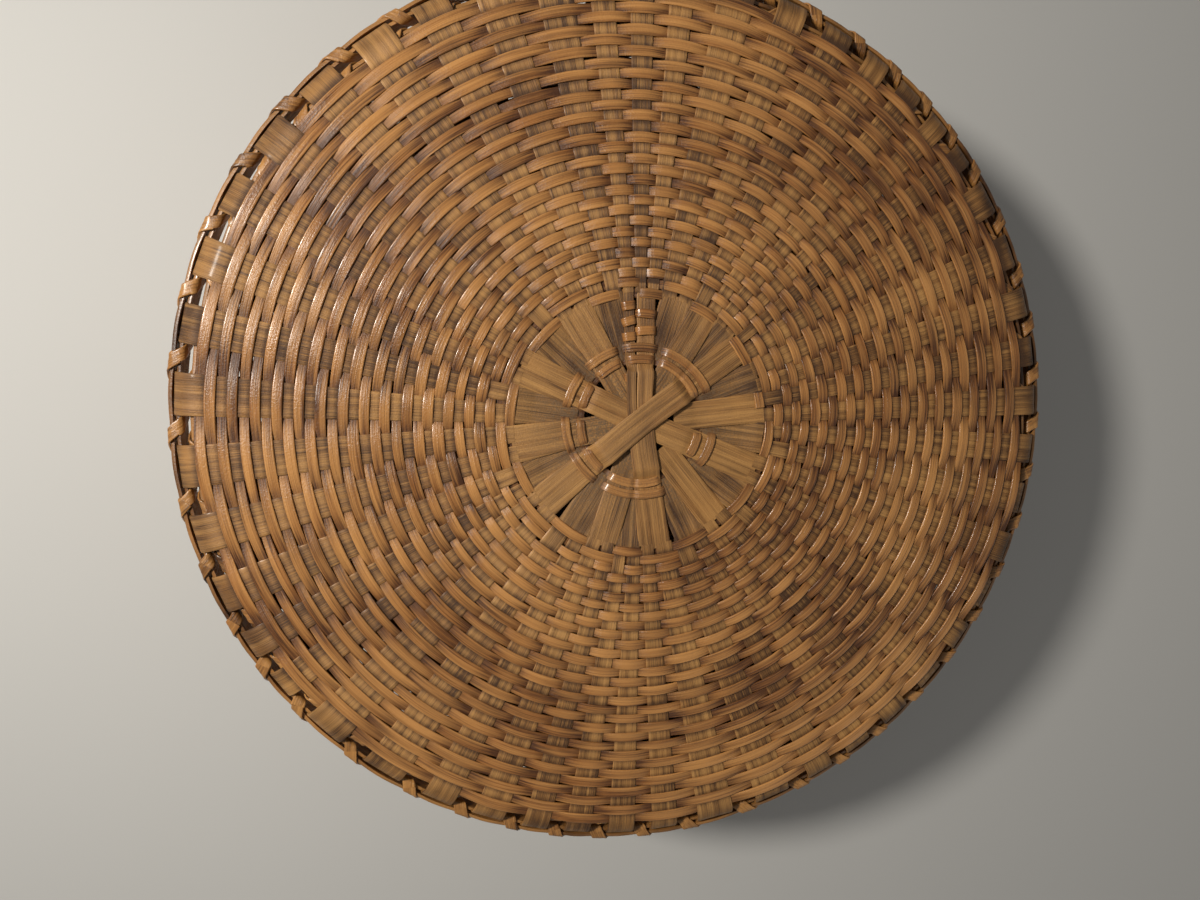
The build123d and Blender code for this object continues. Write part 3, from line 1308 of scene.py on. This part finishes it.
@dataclass
class Lid:
    """The shallow lid, with its ribs where the photograph has them.

    The crossing lists the ribs that run right across: both ends' numbers and the level. The short
    ribs have their number, level, tip and tip width.
    """

    ribs: tuple[float, ...] = (
        6, 20, 36, 47, 59, 73, 90, 105.6, 121, 138, 155, 171.6,
        189.6, 206, 219, 238, 252.6, 264.5, 277, 294.6, 308, 322.8, 337, 352,
    )
    crossing: tuple[tuple[int, int, int], ...] = ((2, 14, 3), (6, 18, 2), (10, 22, 1), (4, 16, 0))
    short_ribs: tuple[tuple[int, float, float, float], ...] = (
        (0, 0.4, 12.5 * MM, 3.0 * MM),
        (20, 0.4, 12.5 * MM, 7.5 * MM),
        (8, 0, 4.0 * MM, 8.0 * MM),
        (12, 0, 4.0 * MM, 8.0 * MM),
    )
    laid_in: tuple[float, float, float] = (-1, 23.0 * MM, 7.0 * MM)
    sink: float = 0.12 * MM
    bend: float = 3.5 * MM
    edge_room: float = 0.9 * MM
    shoulder_rise: float = 0.4 * MM
    last_row_room: float = 2.0 * MM
    slit_pieces: tuple[Piece, ...] = (
        Piece(
            2.9 * MM, 4.6 * MM, 3.3 * MM, 3.9 * MM, tone=-0.5,
            wraps=(16.5 * MM, 31.0 * MM, 36.5 * MM, 42.0 * MM),
        ),
        Piece(
            -1.6 * MM, -2.0 * MM, 5.6 * MM, 6.9 * MM, tone=0.2,
            wraps=(33.0 * MM, 39.0 * MM),
        ),
    )
    binding_valley: float = -1.3
    wrap_share: float = 0.92

    def __post_init__(self) -> None:
        """Take the lid's sizes from the frame."""
        seat = Seat.of("lid")
        middle = seat.outer - RIB_MIDDLE
        level = sum(node_z("lid_rib_4")) / 2 - self.sink
        edge = node_radius("lid_face_weaver") + self.edge_room
        shoulder = (middle, seat.high + self.shoulder_rise)
        corners = [(0, level), (edge, level), shoulder, (middle, seat.low)]
        profile = Profile(corners, self.bend, Side.LEFT)
        last_run = edge - self.last_row_room
        self.half = Half(
            Body.LID, "lid", profile, self.ribs, seed=21, seat=seat, last_run=last_run,
            crossing_high=True, layer=LAYER,
        )

    def build(self) -> None:
        """Make every piece of the lid."""
        half = self.half
        taken = {number for one, two, _ in self.crossing for number in (one, two)}
        taken |= {number for number, *_ in self.short_ribs}
        for order, (one, two, level) in enumerate(self.crossing):
            ends = half.rib_end(one, level), half.rib_end(two, level)
            if self.ribs[one] == half.spokes.split_at:
                strips = half.rib_set.split(*ends, self.slit_pieces)
            else:
                strips = [half.rib_set.uncut(*ends)]
            nodes = [f"lid_rib_{order + 1}", "lid_rib_ends", "lid_shoulders"]
            half.rib(f"lid_crossing_rib_{order + 1}", nodes, strips, (one, two))
        for order, (number, *shape) in enumerate(self.short_ribs):
            strip = half.rib_set.uncut(half.rib_end(number, *shape))
            nodes = [f"lid_short_rib_{order + 1}"]
            half.rib(f"lid_short_splint_{order + 1}", nodes, [strip], [number])
        laid_in = [number for number in range(len(self.ribs)) if number not in taken]
        for order, number in enumerate(laid_in):
            strip = half.rib_set.uncut(half.rib_end(number, *self.laid_in))
            nodes = [f"lid_laid_in_rib_{order + 1}"]
            half.rib(f"lid_laid_in_splint_{order + 1}", nodes, [strip], [number])
        half.weaver("lid_long_weaver", ["lid_face_weaver"])
        over = [self.ribs[number] for one, two, _ in self.crossing for number in (one, two)]
        over += [self.ribs[number] for number, level, *_ in self.short_ribs if not level]
        under = [self.ribs[number] for number, level, *_ in self.short_ribs if level]
        half.binding("lid_binding_rounds", "lid_binding_weaver", self.binding_valley, over, under)
        self._wraps()
        half.rim()

    def _wraps(self) -> None:
        """Make the weaver's turns round the two pieces of the slit rib."""
        mesh = StripMesh()
        half = self.half
        width = half.weaver_width * self.wrap_share
        wraps = Wraps(half.profile, half.spokes.split_at, half.rib_set.slit_radius, width)
        wraps.lay(mesh, self.slit_pieces)
        mesh.build("lid_centre_wraps", WEAVER, Body.LID, ["lid_binding_weaver"])


@dataclass
class Basket:
    """The body: the crossed base, straight side and lashed rim."""

    pairs: int = 12
    raised: float = 0.12 * MM
    bend: float = 5.0 * MM
    edge_room: float = 1.0 * MM
    heel_rise: float = 8.5 * MM
    top_room: float = 0.2 * MM
    last_row_room: float = 2.2 * MM
    laid_in: tuple[float, float, float] = (0, 29.0 * MM, 4.0 * MM)
    binding_valley: float = -0.55

    def __post_init__(self) -> None:
        """Take the body's sizes from the frame."""
        self.ribs = tuple(360 / (2 * self.pairs) * number for number in range(2 * self.pairs))
        seat = Seat.of("body")
        middle = seat.outer - RIB_MIDDLE
        level = sum(node_z("base_rib_1")) / 2 + self.raised
        edge = node_radius("base_weaver") + self.edge_room
        heel, top = level + self.heel_rise, seat.high - self.top_room
        corners = [(0, level), (edge, level), (middle, heel), (middle, top)]
        profile = Profile(corners, self.bend, Side.RIGHT)
        last_run = profile.length - seat.height - self.last_row_room
        self.half = Half(
            Body.BASKET, "body", profile, self.ribs, seed=77, seat=seat, last_run=last_run,
            crossing_high=False, layer=-LAYER,
        )

    def build(self) -> None:
        """Make every piece of the body."""
        half = self.half
        for order in range(self.pairs // 2):
            numbers = (2 * order, 2 * order + self.pairs)
            strip = half.rib_set.uncut(*(half.rib_end(number, order) for number in numbers))
            nodes = [f"base_rib_{order + 1}"]
            if order == 0:
                nodes += ["body_uprights", "body_heels"]
            half.rib(f"body_crossing_rib_{order + 1}", nodes, [strip], numbers)
        for order in range(self.pairs):
            number = 2 * order + 1
            strip = half.rib_set.uncut(half.rib_end(number, *self.laid_in))
            nodes = [f"base_laid_in_rib_{order + 1}"]
            half.rib(f"body_laid_in_splint_{order + 1}", nodes, [strip], [number])
        half.weaver("body_long_weaver", ["base_weaver", "body_side_weaver"])
        under = [self.ribs[2 * number] for number in range(self.pairs)]
        half.binding("base_binding_rounds", "base_binding_weaver", self.binding_valley, [], under)
        half.rim()


@dataclass(frozen=True)
class Lamp:
    """A round area lamp that faces a point."""

    name: str
    spot: Point
    target: Point
    size: float
    power: float
    colour: Colour

    def hang(self) -> None:
        """Put the lamp in the scene."""
        data = bpy.data.lights.new(self.name, "AREA")
        data.shape = "DISK"
        data.size = self.size
        data.energy = self.power
        data.color = self.colour
        lamp = bpy.data.objects.new(self.name, data)
        lamp.location = self.spot
        facing = Vector(self.target) - Vector(self.spot)
        lamp.rotation_euler = facing.to_track_quat("-Z", "Y").to_euler()
        bpy.context.scene.collection.objects.link(lamp)


@dataclass
class Studio:
    """Plain pale floor, soft light from the upper left, and the photograph's view."""

    eye: Point = (-56.6 * MM, 19.9 * MM, 398.5 * MM)
    aim: Point = (-14.95 * MM, -10.1 * MM, 113.3 * MM)
    focal_share: float = 800 / 1200
    sensor_width: float = 36.0
    floor_size: float = 60.0
    floor_colours: tuple[Colour, Colour] = ((0.54, 0.537, 0.522), (0.575, 0.572, 0.557))
    overhead: Colour = (0.155, 0.152, 0.146)
    walls: Colour = (0.34, 0.33, 0.31)
    wall_fall: float = 12.0
    lamps: tuple[Lamp, ...] = (
        Lamp("key_lamp", (-0.46, 0.18, 0.6), (0, 0, 0.08), 0.1, 5.1, (1.0, 0.95, 0.87)),
        Lamp("fill_lamp", (1.0, -0.9, 0.7), (0, 0, 0.05), 1.4, 1.1, (1.0, 0.96, 0.91)),
    )

    def build(self) -> None:
        """Make the floor, the light and the camera."""
        self._floor()
        self._world()
        for lamp in self.lamps:
            lamp.hang()
        self._camera()
        bpy.context.scene.view_settings.view_transform = "Standard"

    def _floor(self) -> None:
        """Make the wide floor with a soft mottle."""
        half = self.floor_size / 2
        mesh = bpy.data.meshes.new("studio_floor")
        corners = [(-half, -half, 0), (half, -half, 0), (half, half, 0), (-half, half, 0)]
        mesh.from_pydata(corners, [], [(0, 1, 2, 3)])
        graph = Graph(bpy.data.materials.new("studio_floor"))
        mottle = graph.noise(graph.node("ShaderNodeTexCoord", {}, {}, "Object"), 2.0, 3.0)
        colour = graph.mix(mottle, *map(opaque, self.floor_colours))
        mesh.materials.append(graph.surface({"Base Color": colour, "Roughness": 0.8}))
        floor = bpy.data.objects.new("studio_floor", mesh)
        bpy.context.scene.collection.objects.link(floor)

    def _world(self) -> None:
        """Light the scene softly from all round, most from the pale walls at eye level."""
        world = bpy.data.worlds.new("studio_world")
        graph = Graph(world)
        height = graph.axis(graph.node("ShaderNodeTexCoord", {}, {}, "Generated"), 2)
        wall = (1 - height * height * self.wall_fall).clamped()
        colour = graph.mix(wall, opaque(self.overhead), opaque(self.walls))
        light = graph.node("ShaderNodeBackground", {}, {"Color": colour})
        graph.node("ShaderNodeOutputWorld", {}, {"Surface": light}, None)
        bpy.context.scene.world = world

    def _camera(self) -> None:
        """Stand the camera where the photograph was taken from, relative to the lid."""
        data = bpy.data.cameras.new("camera")
        data.sensor_width = self.sensor_width
        data.lens = data.sensor_width * self.focal_share
        data.clip_start = 10 * MM
        camera = bpy.data.objects.new("camera", data)
        ahead = (Vector(self.aim) - Vector(self.eye)).normalized()
        right = ahead.cross(Vector((0, 1, 0))).normalized()
        up = right.cross(ahead)
        turned = Matrix((right, up, -ahead)).transposed().to_4x4()
        camera.matrix_world = Matrix.Translation(self.eye) @ turned
        bpy.context.scene.collection.objects.link(camera)
        bpy.context.scene.camera = camera


def main() -> None:
    """Build the studio, the basket and the lid."""
    logging.basicConfig(level=logging.INFO, format="%(message)s")
    Studio().build()
    Basket().build()
    Lid().build()


if __name__ == "__main__":
    main()
